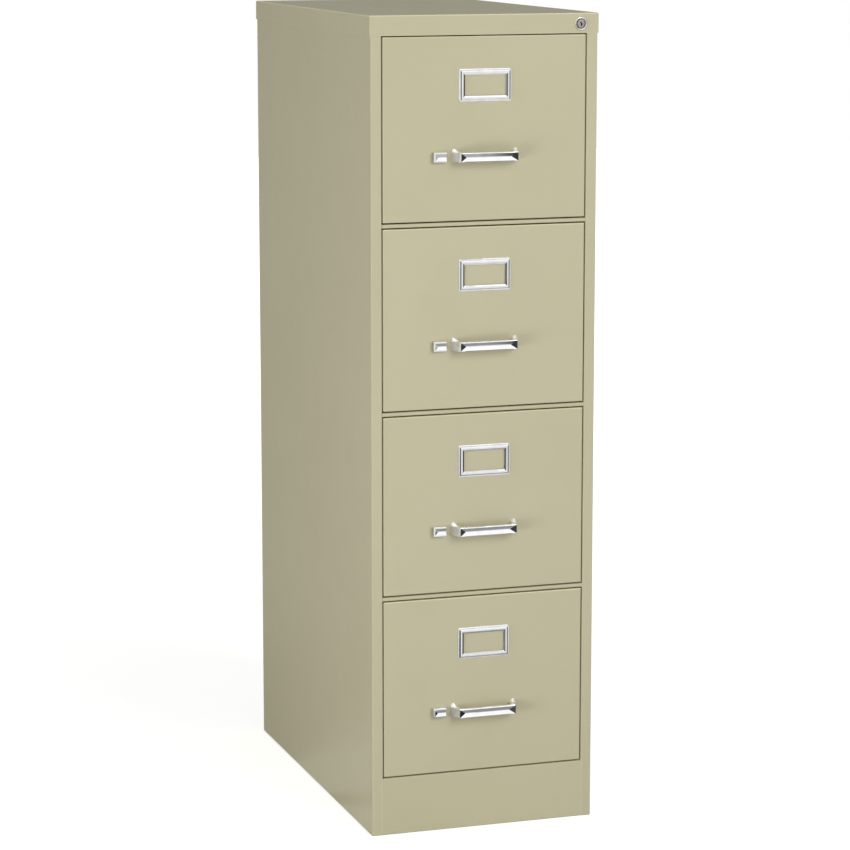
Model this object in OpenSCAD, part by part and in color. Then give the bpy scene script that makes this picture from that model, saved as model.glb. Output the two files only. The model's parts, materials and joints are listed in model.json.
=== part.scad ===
// Four-drawer vertical filing cabinet in painted sheet steel, with chromed handles, thumb latches
// and label holders, full-extension slides and a lock bar that holds every drawer at once.
// X runs across, Y from front to back, Z up. The origin is on the floor, under the middle of the
// whole cabinet with its handles.

/* [Case] */
// Width over the top cover
cabinet_w = 381; // [372:1:400]
// Depth of the case from the drawer fronts to its back
case_d = 670.5; // [665:0.5:720]
// Height of the plinth under the bottom drawer
plinth_h = 95; // [60:1:120]
// Height of the top cover's lip
lip_h = 32; // [30:1:40]
// Thickness of the case and drawer sheet
sheet = 1; // [0.8:0.1:1.2]
// Outside radius of the folded edges
bend_r = 1.8; // [1.5:0.1:2.5]
// Width of the stile on each side of the drawers
stile_w = 17.9; // [16:0.1:20]
// Depth of the fold behind a stile
stile_fold = 20; // [18:1:22]
// Height of the rail seen between two drawers
rail_h = 6; // [5:1:10]
// Depth of a rail
rail_d = 22; // [16:1:22]

/* [Drawers] */
// Number of drawers
drawers = 4; // [2:1:4]
// Height of a drawer front
front_h = 290; // [280:1:300]
// Depth of a drawer front from its face to its liner's back
front_d = 20; // [18:1:20]
// Gap above and below a drawer front
front_gap = 2; // [1.5:0.1:3]
// Gap at each side of a drawer front
side_gap = 1.7; // [1.5:0.1:2.5]
// Width of the tray over its sides
tray_w = 313; // [300:1:313]
// Height of the tray's sides
tray_h = 236; // [200:1:240]
// Length of the tray behind the front
tray_d = 620; // [600:1:620]
// Height of the tray's bottom above the drawer front's lower edge
tray_lift = 14; // [12:1:20]

/* [Slides] */
// Length of a slide member
slide_len = 600; // [560:5:600]
// Height of the slides above the drawer front's lower edge
slide_z = 110; // [80:1:130]
// Height of the case member
slide_h = 45; // [45:1:50]
// Thickness of the slide steel
slide_t = 1.2; // [1:0.1:1.3]

/* [Handle and label holder] */
// Height of the handle's middle above the drawer front's lower edge
handle_z = 101.5; // [90:0.5:140]
// Width over the handle's feet
handle_w = 114; // [110:1:130]
// Reach of the handle in front of the drawer
handle_reach = 24; // [22:1:34]
// Height of the handle's bar
bar_h = 15.7; // [14:0.1:18]
// Width of the label holder
label_w = 87; // [80:1:95]
// Height of the label holder
label_h = 51; // [45:1:55]
// Distance from the drawer front's top edge to the label holder's middle
label_drop = 77; // [60:1:85]

/* [Latch] */
// Middle of the latch button, left of the drawer's middle
latch_x = -76.6; // [-80:0.1:-76]
// Width of the latch button
latch_w = 21.5; // [20:0.5:22]
// Height of the latch button
latch_h = 16; // [14:0.5:18]
// Reach of the latch button in front of the drawer
latch_reach = 8; // [7:0.5:10]
// Travel of the latch button towards the handle
latch_travel = 8; // [6:0.5:8]

/* [Lock] */
// Distance of the lock from the cabinet's middle
lock_x = 160; // [158:0.5:162]
// Radius of the lock's bezel
bezel_r = 10.5; // [10:0.5:11]
// Radius of the turning plug
plug_r = 7; // [6:0.5:7.5]
// Distance of the crank pin from the plug's axis
crank_r = 7; // [6:0.5:7]

/* [File follower] */
// Width of the follower plate
follower_w = 296; // [280:1:300]
// Height of the follower plate
follower_h = 190; // [150:1:200]

/* [Hidden] */
$fn = 48;
CASE_PARTS = [
  "left_side_panel", "right_side_panel", "back_panel", "top_cover", "plinth_front", "plinth_rear",
  "cross_rails", "top_rail", "slide_uprights", "case_slide_members", "lock_housing", "lock_plug",
  "lock_cam", "lock_nut", "lock_bar", "lock_bar_guides"
];
DRAWER_PARTS = [
  "front", "liner", "tray", "slide_members", "slide_intermediates", "handle", "handle_screws",
  "label_holder", "latch_button", "latch_rod", "follower"
];
function drawer_node(i, part) = str("drawer_", i, "_", part);

// Clearance between pieces that slide past each other
slack = 0.5;
// Gap between the case and the cover's flanges
cover_gap = 0.6;
// Overcut that keeps a subtracted solid's faces clear of the walls
over = 1;

case_w = cabinet_w - 2 * (sheet + cover_gap);
opening_w = case_w - 2 * stile_w;
pitch = front_h + rail_h + 2 * front_gap;
opening_top = plinth_h + drawers * pitch - rail_h;
cover_z = opening_top - 0.2;
cabinet_h = cover_z + lip_h;
case_h = cabinet_h - sheet - bend_r;
cover_d = case_d + 2 * sheet + cover_gap;
face_y = -(handle_reach + case_d + sheet + cover_gap) / 2 + handle_reach;
back_y = face_y + case_d;
front_w = opening_w - 2 * side_gap;

seam_lap = bend_r + 0.2;
// Hole for the latch rod: its height, and its reach behind the drawer's face
strike_h = 18;
strike_y = [6, 16];

// Room for a slide between the tray's side and the upright
slide_pack = opening_w / 2 - 1.3 - tray_w / 2;
slide_y = face_y + 24;
case_member_w = 11;
drawer_member_w = 7.5;
drawer_member_h = 25;
middle_member_h = 35;
// Middle member: distances of its web and its legs' tips from the tray's side
middle_web_x = slide_pack - slide_t - 3.4;
middle_leg_x = 2.5;
cage_t = 1.4;
cage_w = 4;
cage_len = 270;
ball_r = 1.5;
balls = 6;

// Uprights: width, the front edge of each pair, and the lower and upper end
post_w = 30;
post_y = [face_y + 42, face_y + 592];
post_z = [60, opening_top - 10];

// Lock bar with its hooks, and the lug of each tray that a hook catches when the bar is up
bar_t = 2;
bar_w = 12.5;
bar_x = opening_w / 2 + 2.5;
bar_y = face_y + 27;
hook_h = 14;
hook_z = 196;
hook_reach = 14;
lug_z = hook_z + hook_h + 1.5;
lug_h = 12;
lock_z = cover_z + 14.7;
plug_back = bar_y - 3;
cam_t = 2;
pin_r = 2;
barrel_r = bezel_r - 1.9;

// Stem of the latch button: its middle from the button's middle, its size and its end behind the face
stem_x = -5;
stem_w = 6;
stem_h = 8;
stem_y = 5;

// Screws of the handle
screw_x = handle_w / 2 - 6;
screw_r = 1.6;
screw_head_r = 3.8;
screw_head_t = 2.8;

// Rib along the tray's bottom, and the follower that rides on it
rib_w = 24;
rib_h = 8;
rib_y = front_d + 20;
follower_y = 606;
foot_len = 70;

paint = [0.76, 0.74, 0.62];
inner_paint = [0.70, 0.68, 0.57];
chrome = [0.86, 0.86, 0.88];
zinc = [0.72, 0.73, 0.74];

// Lower edge of a drawer's front, counted from the top drawer down
function drawer_z(i) = plinth_h + front_gap + (drawers - i) * pitch;

module drawer_at(i) {
  translate([0, face_y, drawer_z(i)]) children();
}

module both_sides() {
  children();
  mirror([1, 0, 0]) children();
}

// A rectangle with round corners, centred
module rounded_rect(x, y, r) {
  square([x - 2 * r, y], center = true);
  square([x, y - 2 * r], center = true);
  for (sx = [-1, 1], sy = [-1, 1])
    translate([sx * (x / 2 - r), sy * (y / 2 - r)]) circle(r);
}

// A block whose upright and top edges are round, standing on its open end
module rounded_block(x, y, z, r) {
  intersection() {
    linear_extrude(z) rounded_rect(x, y, r);
    translate([0, y / 2, z / 2 - r]) rotate([90, 0, 0]) linear_extrude(y) rounded_rect(x, z + 2 * r, r);
    translate([-x / 2, 0, z / 2 - r]) rotate([90, 0, 90]) linear_extrude(x) rounded_rect(y, z + 2 * r, r);
  }
}

// A shallow pan pressed from sheet, open at the bottom
module pan(x, y, z) {
  difference() {
    rounded_block(x, y, z, bend_r);
    translate([0, 0, -over]) rounded_block(x - 2 * sheet, y - 2 * sheet, z - sheet + over, bend_r - sheet);
  }
}

// A channel rolled from sheet: its web faces -Y, and its legs run back
module front_channel(depth, height, length) {
  translate([-length / 2, depth / 2, height / 2]) rotate([90, 0, 90]) linear_extrude(length) difference() {
    rounded_rect(depth, height, bend_r);
    translate([sheet, 0]) rounded_rect(depth, height - 2 * sheet, bend_r - sheet);
  }
}

// A slide channel on the right-hand side: its web at web_x, and its legs reaching to leg_x
module slide_channel(web_x, leg_x, height, length) {
  translate([0, length, 0]) rotate([90, 0, 0]) linear_extrude(length) {
    translate([web_x, -height / 2]) square([slide_t, height]);
    for (z = [-height / 2, height / 2 - slide_t])
      translate([min(leg_x, web_x), z]) square([abs(web_x - leg_x) + slide_t, slide_t]);
  }
}

// The hole for the latch rod's tip, from x for the width
module strike_hole(x, width) {
  translate([x, strike_y[0], handle_z - strike_h / 2]) cube([width, strike_y[1] - strike_y[0], strike_h]);
}

// The lock barrel's hole through the sheet in front of y, counted from the face
module barrel_hole(y) {
  translate([lock_x, face_y + y, lock_z]) rotate([90, 0, 0]) cylinder(h = 4 * over, r = barrel_r + 0.4);
}

module side_panel() {
  color(paint) difference() {
    translate([opening_w / 2 + stile_w / 2, face_y + case_d / 2, 0]) linear_extrude(case_h) difference() {
      rounded_rect(stile_w, case_d, bend_r);
      rounded_rect(stile_w - 2 * sheet, case_d - 2 * sheet, bend_r - sheet);
      translate([-stile_w / 2 - over, -case_d / 2 + stile_fold])
        square([stile_w / 2, case_d - stile_fold - sheet]);
    }
    translate([opening_w / 2 - over, face_y - over, -over])
      cube([over + seam_lap, stile_fold + 2 * over, plinth_h + over]);
    for (i = [1 : drawers]) drawer_at(i) strike_hole(opening_w / 2 - over, 2 * over + sheet);
  }
}

module back_panel() {
  width = case_w - 2 * sheet - 2;
  foot_gap = 4;
  color(paint) translate([-width / 2, back_y - 2 * sheet, foot_gap])
    cube([width, sheet, case_h - 2 * foot_gap]);
}

module top_cover() {
  return_d = 12;
  color(paint) difference() {
    union() {
      translate([0, face_y - sheet + cover_d / 2, cover_z]) pan(cabinet_w, cover_d, lip_h);
      translate([-opening_w / 2 + side_gap, face_y - sheet / 2, cover_z])
        cube([opening_w - 2 * side_gap, return_d, sheet]);
    }
    barrel_hole(over);
  }
}

module plinth_front() {
  color(paint) translate([0, face_y, 0]) front_channel(stile_fold, plinth_h, opening_w + 2 * seam_lap);
}

module plinth_rear() {
  height = plinth_h * 0.7;
  color(paint) translate([0, back_y - 2 * sheet, 0]) rotate([0, 0, 180])
    front_channel(stile_fold, height, opening_w - 2);
}

module cross_rails() {
  color(paint) for (i = [1 : drawers - 1])
    translate([0, face_y, drawer_z(i) - front_gap - rail_h]) front_channel(rail_d, rail_h, opening_w);
}

module top_rail() {
  rail_z = cover_z + sheet + 1;
  height = case_h - rail_z;
  color(inner_paint) difference() {
    translate([0, face_y, rail_z]) front_channel(rail_d - 5, height, opening_w - 1);
    barrel_hole(2 * over);
  }
}

module slide_uprights() {
  web_x = tray_w / 2 + slide_pack;
  flange = case_w / 2 - sheet - web_x;
  color(zinc) both_sides() for (y = post_y)
    translate([web_x, y, post_z[0]]) linear_extrude(post_z[1] - post_z[0]) difference() {
      square([flange, post_w]);
      translate([slide_t, slide_t]) square([flange, post_w - 2 * slide_t]);
    }
}

module case_slide_members() {
  web = tray_w / 2 + slide_pack - slide_t;
  color(zinc) for (i = [1 : drawers])
    translate([0, slide_y, drawer_z(i) + slide_z]) both_sides()
      slide_channel(web, web + slide_t - case_member_w, slide_h, slide_len + 10);
}

module lock_housing() {
  flange_t = 2.4;
  color(chrome) translate([lock_x, 0, lock_z]) rotate([-90, 0, 0]) difference() {
    union() {
      translate([0, 0, face_y - sheet - flange_t]) cylinder(h = flange_t, r = bezel_r);
      translate([0, 0, face_y - sheet - over]) cylinder(h = 20 + over, r = barrel_r);
    }
    translate([0, 0, face_y - 10]) cylinder(h = 40, r = plug_r + 0.05);
  }
}

module lock_plug() {
  nose = face_y - sheet - 2.9;
  keyway = [1.6, 10, 7];
  color(zinc) difference() {
    translate([lock_x, nose, lock_z]) rotate([-90, 0, 0]) cylinder(h = plug_back - nose, r = plug_r);
    translate([lock_x - keyway.x / 2, nose - over, lock_z - keyway.z / 2]) cube(keyway);
  }
}

module lock_cam() {
  color(zinc) translate([lock_x, plug_back, lock_z]) rotate([0, 45, 0]) rotate([-90, 0, 0]) {
    linear_extrude(cam_t) {
      circle(plug_r);
      translate([crank_r, 0]) circle(pin_r + 1);
      translate([0, -pin_r - 1]) square([crank_r, 2 * pin_r + 2]);
    }
    translate([crank_r, 0, 0]) cylinder(h = bar_y + bar_t + 1.5 - plug_back, r = pin_r);
  }
}

module lock_nut() {
  nut_t = 4;
  color(zinc) translate([lock_x, face_y + 3, lock_z]) rotate([-90, 0, 0]) difference() {
    rotate([0, 0, 30]) cylinder(h = nut_t, r = barrel_r + 2.8, $fn = 6);
    translate([0, 0, -over]) cylinder(h = nut_t + 2 * over, r = barrel_r);
  }
}

module lock_bar() {
  pin_x = crank_r * cos(45);
  pin_z = lock_z - crank_r * sin(45);
  arm_h = 15;
  slot_h = 2 * pin_r + 1;
  foot_z = drawer_z(drawers) + hook_z;
  color(zinc) difference() {
    union() {
      translate([bar_x, bar_y, foot_z]) cube([bar_w, bar_t, pin_z + arm_h / 2 - foot_z]);
      for (i = [1 : drawers])
        translate([bar_x - hook_reach, bar_y, drawer_z(i) + hook_z])
          cube([hook_reach + over, bar_t, hook_h]);
      translate([lock_x, bar_y, pin_z - arm_h / 2]) cube([bar_x + over - lock_x, bar_t, arm_h]);
    }
    translate([lock_x + pin_x - pin_r - 1, bar_y - over, pin_z - slot_h / 2])
      cube([crank_r - pin_x + 2 * pin_r + 2, bar_t + 2 * over, slot_h]);
  }
}

module lock_bar_guides() {
  guide_h = 20;
  below_hook = 50;
  width = case_w / 2 - sheet - bar_x + slack + slide_t;
  wrap = bar_t + 2 * slack;
  color(zinc) for (i = [1 : drawers])
    translate([bar_x - slack - slide_t, bar_y - slack, drawer_z(i) + hook_z - below_hook]) difference() {
      translate([0, -slide_t, 0]) cube([width, wrap + 2 * slide_t, guide_h]);
      translate([slide_t, 0, -over]) cube([bar_w + 2 * slack, wrap, guide_h + 2 * over]);
    }
}

// Drawer pieces: Y counts back from the front's face, and Z up from its lower edge

module drawer_front() {
  slot = [stem_w + latch_travel + 2 * slack, 4 * over, stem_h + 2 * slack];
  color(paint) difference() {
    translate([0, front_d, front_h / 2]) rotate([90, 0, 0]) pan(front_w, front_h, front_d);
    translate([latch_x + stem_x - stem_w / 2 - slack, -over, handle_z - slot.z / 2]) cube(slot);
    strike_hole(-front_w / 2 - over, 4 * over);
    both_sides() translate([screw_x, 2 * over, handle_z]) rotate([90, 0, 0])
      cylinder(h = 4 * over, r = screw_r + 0.8);
  }
}

module drawer_liner() {
  depth = 12;
  fit = 2 * sheet + 0.4;
  color(inner_paint) difference() {
    translate([0, front_d - depth, front_h / 2]) rotate([-90, 0, 0]) pan(front_w - fit, front_h - fit, depth);
    strike_hole(-front_w / 2 - over, 6 * over);
  }
}

// The tray's bottom and sides, seen from the front
module tray_section() {
  deep_h = tray_h + 2 * bend_r;
  difference() {
    translate([0, bend_r]) rounded_rect(tray_w, deep_h, bend_r);
    translate([0, bend_r + sheet]) rounded_rect(tray_w - 2 * sheet, deep_h, bend_r - sheet);
    translate([-tray_w / 2 - over, tray_h / 2]) square([tray_w + 2 * over, 4 * bend_r]);
  }
}

module drawer_tray() {
  hem_h = 12;
  back_h = tray_h - 30;
  rib_len = tray_d - 40;
  hollow = [rib_w - 2 * sheet, rib_len - 2 * sheet, rib_h - sheet / 2 + over];
  color(inner_paint) union() {
    difference() {
      translate([0, front_d + tray_d, tray_lift + tray_h / 2]) rotate([90, 0, 0])
        linear_extrude(tray_d) tray_section();
      translate([-hollow.x / 2, rib_y + sheet, tray_lift - over]) cube(hollow);
    }
    translate([0, rib_y, tray_lift]) difference() {
      translate([-rib_w / 2, 0, sheet / 2]) cube([rib_w, rib_len, rib_h]);
      translate([-hollow.x / 2, sheet, -over]) cube(hollow);
    }
    both_sides() translate([tray_w / 2 - 2 * sheet, front_d, tray_lift + tray_h - hem_h])
      cube([sheet, tray_d, hem_h]);
    translate([-tray_w / 2 + sheet / 2, front_d + tray_d - sheet, tray_lift + sheet / 2])
      cube([tray_w - sheet, sheet, back_h]);
    translate([tray_w / 2 - sheet / 2, bar_y + bar_t + 1 - face_y, lug_z]) {
      cube([hook_reach - 2 + sheet / 2, 2 * sheet, lug_h]);
      cube([slide_t + sheet / 2, 2 * lug_h, lug_h]);
    }
  }
}

module drawer_slide_members() {
  web_x = tray_w / 2;
  color(zinc) translate([0, slide_y - face_y, slide_z]) both_sides()
    slide_channel(web_x, web_x + drawer_member_w - slide_t, drawer_member_h, slide_len);
}

module ball_cage(z) {
  step = cage_len / balls;
  translate([0, 0, z]) {
    translate([-cage_w / 2, 0, -cage_t / 2]) cube([cage_w, cage_len, cage_t]);
    for (k = [0 : balls - 1]) translate([0, step * (k + 0.5), 0]) sphere(ball_r, $fn = 24);
  }
}

module drawer_slide_intermediates() {
  outer_z = (slide_h / 2 - slide_t + middle_member_h / 2) / 2;
  inner_z = (middle_member_h / 2 - slide_t + drawer_member_h / 2) / 2;
  cage_end = 20;
  color(zinc) translate([0, slide_y - face_y, slide_z]) both_sides() translate([tray_w / 2, 0, 0]) {
    slide_channel(middle_web_x, middle_leg_x, middle_member_h, slide_len);
    for (z = [-outer_z, outer_z]) translate([6, slide_len - cage_len - cage_end, 0]) ball_cage(z);
    for (z = [-inner_z, inner_z]) translate([5, cage_end, 0]) ball_cage(z);
  }
}

// The handle's outline seen from above, drawn in by the inset
module handle_plan(inset) {
  foot = handle_w / 2 - inset;
  bar = handle_w / 2 - 11 - inset * 0.6;
  reach = handle_reach - inset;
  right = [[bar, -reach], [foot - 5, -reach * 0.7], [foot - 1.5, -reach * 0.35], [foot, 0]];
  left = [for (k = [len(right) - 1 : -1 : 0]) [-right[k].x, right[k].y]];
  polygon(concat(left, right));
}

// The scoop along the front of the handle's bar, seen from its end
module handle_scoop() {
  rim = 2.5;
  depth = 2.5;
  tip = bar_h / 2 - rim;
  polygon([[-over, -tip - over], [-over, tip + over], [0, tip], [depth, 0], [0, -tip]]);
}

module drawer_handle() {
  bar_depth = 6;
  foot_depth = 10;
  scoop_w = handle_w - 34;
  color(chrome) translate([0, 0, handle_z]) difference() {
    translate([0, 0, -bar_h / 2]) linear_extrude(bar_h) difference() {
      handle_plan(0);
      intersection() {
        handle_plan(bar_depth);
        translate([-handle_w / 2 + foot_depth, -handle_reach])
          square([handle_w - 2 * foot_depth, 2 * handle_reach]);
      }
    }
    translate([-scoop_w / 2, -handle_reach, 0]) rotate([90, 0, 90]) linear_extrude(scoop_w) handle_scoop();
    both_sides() translate([screw_x, over, 0]) rotate([90, 0, 0]) cylinder(h = 9 + over, r = screw_r + 0.1);
  }
}

module drawer_handle_screws() {
  color(zinc) both_sides() translate([screw_x, 0, handle_z]) rotate([90, 0, 0]) {
    translate([0, 0, -sheet - 0.5]) cylinder(h = 9 + sheet, r = screw_r);
    translate([0, 0, -sheet - screw_head_t]) cylinder(h = screw_head_t, r = screw_head_r);
  }
}

module drawer_label_holder() {
  depth = 3.2;
  flange = [2, 1];
  window = [label_w - 19, label_h - 21];
  card = [label_w - 10, 0.8, label_h - 10];
  color(chrome) translate([0, 0, front_h - label_drop]) difference() {
    rotate([90, 0, 0]) {
      linear_extrude(flange[1]) rounded_rect(label_w, label_h, 2.5);
      linear_extrude(depth) rounded_rect(label_w - 2 * flange[0], label_h - 2 * flange[0], 2);
    }
    translate([0, over, 0]) rotate([90, 0, 0]) linear_extrude(depth + 2 * over)
      rounded_rect(window.x, window.y, 1);
    translate([-card.x / 2, -card.y, -card.z / 2]) cube(card + [0, over, 0]);
  }
}

module drawer_latch_button() {
  rim = 3;
  lift = 0.4;
  ribs = 3;
  rib_t = 1;
  rib_out = 1.2;
  recess = 2.5;
  hollow_h = latch_h - 2 * rim;
  color(chrome) translate([latch_x, 0, handle_z]) {
    difference() {
      translate([-latch_w / 2, -latch_reach, -latch_h / 2]) cube([latch_w, latch_reach - lift, latch_h]);
      translate([-latch_w / 2 + rim, -latch_reach - over, -hollow_h / 2])
        cube([latch_w, recess + over, hollow_h]);
    }
    for (k = [1 : ribs])
      translate([
        -latch_w / 2 + rim - over / 2,
        -latch_reach + recess - rib_out,
        hollow_h * (k / (ribs + 1) - 0.5) - rib_t / 2
      ])
        cube([latch_w - rim + over / 2, rib_out + over / 2, rib_t]);
    translate([stem_x - stem_w / 2, -lift - over, -stem_h / 2]) cube([stem_w, stem_y + lift + over, stem_h]);
  }
}

// A flat strip in two steps: it hangs on the button's stem, and its tip enters the stile
module drawer_latch_rod() {
  tip = -opening_w / 2 + 0.6;
  rod_h = 12;
  rod_t = 2;
  step_x = latch_x - 62;
  step_w = 10;
  color(zinc) translate([0, stem_y, handle_z - rod_h / 2]) {
    translate([tip, 2 * rod_t, 0]) cube([step_x + step_w - tip, rod_t, rod_h]);
    translate([step_x, 0, 0]) cube([step_w, 3 * rod_t, rod_h]);
    translate([step_x + over, 0, 0]) cube([latch_x + stem_x + stem_w / 2 - step_x, rod_t, rod_h]);
  }
}

module drawer_follower() {
  plate_z = tray_lift + sheet + rib_h + slack;
  depth = 12;
  corner = 8;
  shoe_w = rib_w + 2 * slack + 2 * sheet;
  shoe_len = foot_len + 10;
  color(inner_paint) translate([0, follower_y, plate_z]) union() {
    translate([0, 0, follower_h / 2]) rotate([90, 0, 0]) difference() {
      linear_extrude(depth) rounded_rect(follower_w, follower_h, corner);
      translate([0, 0, -over]) linear_extrude(depth - sheet + over)
        rounded_rect(follower_w - 2 * sheet, follower_h - 2 * sheet, corner - sheet);
    }
    translate([-shoe_w / 2, -foot_len, 0]) cube([shoe_w, shoe_len, sheet]);
    both_sides() translate([shoe_w / 2 - sheet, -foot_len, -rib_h + sheet]) cube([sheet, shoe_len, rib_h]);
  }
}

mirror([1, 0, 0]) side_panel();  // left_side_panel
side_panel();  // right_side_panel
back_panel();
top_cover();
plinth_front();
plinth_rear();
cross_rails();
top_rail();
slide_uprights();
case_slide_members();
lock_housing();
lock_plug();
lock_cam();
lock_nut();
lock_bar();
lock_bar_guides();
for (i = [1 : drawers]) {
  drawer_at(i) drawer_front();
  drawer_at(i) drawer_liner();
  drawer_at(i) drawer_tray();
  drawer_at(i) drawer_slide_members();
  drawer_at(i) drawer_slide_intermediates();
  drawer_at(i) drawer_handle();
  drawer_at(i) drawer_handle_screws();
  drawer_at(i) drawer_label_holder();
  drawer_at(i) drawer_latch_button();
  drawer_at(i) drawer_latch_rod();
  drawer_at(i) drawer_follower();
}
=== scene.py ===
"""Looks for the four-drawer filing cabinet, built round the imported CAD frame.

Lengths are in metres and angles in degrees. A drawer's pieces are built round the middle of its
front's lower edge, or round the handle's middle, and are then put in place.
"""

import json
import math

import bmesh
import bpy
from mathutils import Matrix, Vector


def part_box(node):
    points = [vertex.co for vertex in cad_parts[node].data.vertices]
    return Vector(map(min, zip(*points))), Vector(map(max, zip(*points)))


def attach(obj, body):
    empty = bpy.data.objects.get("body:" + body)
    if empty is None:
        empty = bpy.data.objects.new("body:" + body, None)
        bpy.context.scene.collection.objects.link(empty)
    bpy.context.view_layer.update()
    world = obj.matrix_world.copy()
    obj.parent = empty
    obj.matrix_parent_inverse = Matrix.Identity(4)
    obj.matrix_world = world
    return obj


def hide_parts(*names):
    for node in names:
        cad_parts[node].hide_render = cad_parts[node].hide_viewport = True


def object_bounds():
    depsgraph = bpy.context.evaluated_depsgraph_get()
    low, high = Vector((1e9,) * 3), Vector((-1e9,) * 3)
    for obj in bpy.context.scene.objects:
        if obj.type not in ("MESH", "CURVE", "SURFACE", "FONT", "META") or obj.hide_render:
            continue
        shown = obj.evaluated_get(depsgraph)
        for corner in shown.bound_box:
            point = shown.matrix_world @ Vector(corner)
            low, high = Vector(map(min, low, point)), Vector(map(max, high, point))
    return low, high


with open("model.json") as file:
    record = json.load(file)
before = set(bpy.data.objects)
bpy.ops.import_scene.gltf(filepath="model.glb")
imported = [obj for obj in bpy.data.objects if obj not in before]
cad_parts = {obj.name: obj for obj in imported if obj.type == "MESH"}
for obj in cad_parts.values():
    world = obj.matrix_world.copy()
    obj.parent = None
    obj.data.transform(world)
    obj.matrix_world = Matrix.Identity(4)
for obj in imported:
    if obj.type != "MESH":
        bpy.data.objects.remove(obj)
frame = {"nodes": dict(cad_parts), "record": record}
cad_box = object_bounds()

# ---------------------------------------------------------------- sizes

MM = 0.001
DRAWERS = (1, 2, 3, 4)

SHEET = 1.0 * MM
BEND = 2.0 * MM
PAN_CORNER = 2.0 * MM
BEND_STEPS = 6
CORNER_STEPS = 6

# Widths of the small bevels
EDGE = 0.22 * MM
SHEET_EDGE = 0.15 * MM

# How much a face's size counts in the shading: wholly on flat sheet, half on rounded chrome
SHEET_WEIGHT = 100
CHROME_WEIGHT = 50

FRONT_LO, FRONT_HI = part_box("drawer_1_front")
COVER_LO, COVER_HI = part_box("top_cover")
HANDLE_LO, HANDLE_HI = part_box("drawer_1_handle")
LABEL_LO, LABEL_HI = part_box("drawer_1_label_holder")
BUTTON_LO, BUTTON_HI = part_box("drawer_1_latch_button")
LOCK_LO, LOCK_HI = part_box("lock_housing")
PLUG_LO, PLUG_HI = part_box("lock_plug")

FACE_Y = FRONT_LO.y
HANDLE_Z = (HANDLE_LO.z + HANDLE_HI.z) / 2 - FRONT_LO.z
HANDLE_REACH = FACE_Y - HANDLE_LO.y
HANDLE_HALF = HANDLE_HI.x
BAR_H = HANDLE_HI.z - HANDLE_LO.z
SCREW_X = HANDLE_HALF - 6.0 * MM
BUTTON_X = (BUTTON_LO.x + BUTTON_HI.x) / 2
LOCK_X, LOCK_Z = (LOCK_LO.x + LOCK_HI.x) / 2, (LOCK_LO.z + LOCK_HI.z) / 2
LOCK_HOLE_R = 9.0 * MM
BARREL_R = 8.6 * MM

SLOTS = {s["node"]: s["material_slot"] for s in frame["record"]["subparts"]}
BODY_OF = {n: b for b, nodes in frame["record"]["behaviour"]["bodies"].items() for n in nodes}


# ---------------------------------------------------------------- node trees


class Tree:
    """A short way to write a node tree."""

    def __init__(self, tree):
        self.tree = tree

    def add(self, kind, **settings):
        node = self.tree.nodes.new(kind)
        for key, value in settings.items():
            setattr(node, key, value)
        return node

    def link(self, source, target):
        self.tree.links.new(source, target)

    def feed(self, value, target):
        """Links a socket, or sets a colour or a number."""
        if isinstance(value, bpy.types.NodeSocket):
            self.link(value, target)
        elif isinstance(value, tuple) and len(value) == 3:
            target.default_value = (*value, 1.0)
        else:
            target.default_value = value

    def math(self, operation, *values):
        node = self.add("ShaderNodeMath", operation=operation)
        for value, target in zip(values, node.inputs):
            self.feed(value, target)
        return node.outputs[0]

    def spread(self, value, low, high, out_low=0.0, out_high=1.0, shape="LINEAR"):
        """The value's range from low to high, brought to the range from out_low to out_high."""
        node = self.add("ShaderNodeMapRange", interpolation_type=shape)
        numbers = {"From Min": low, "From Max": high, "To Min": out_low, "To Max": out_high}
        for key, number in numbers.items():
            node.inputs[key].default_value = number
        self.feed(value, node.inputs["Value"])
        return node.outputs["Result"]


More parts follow.
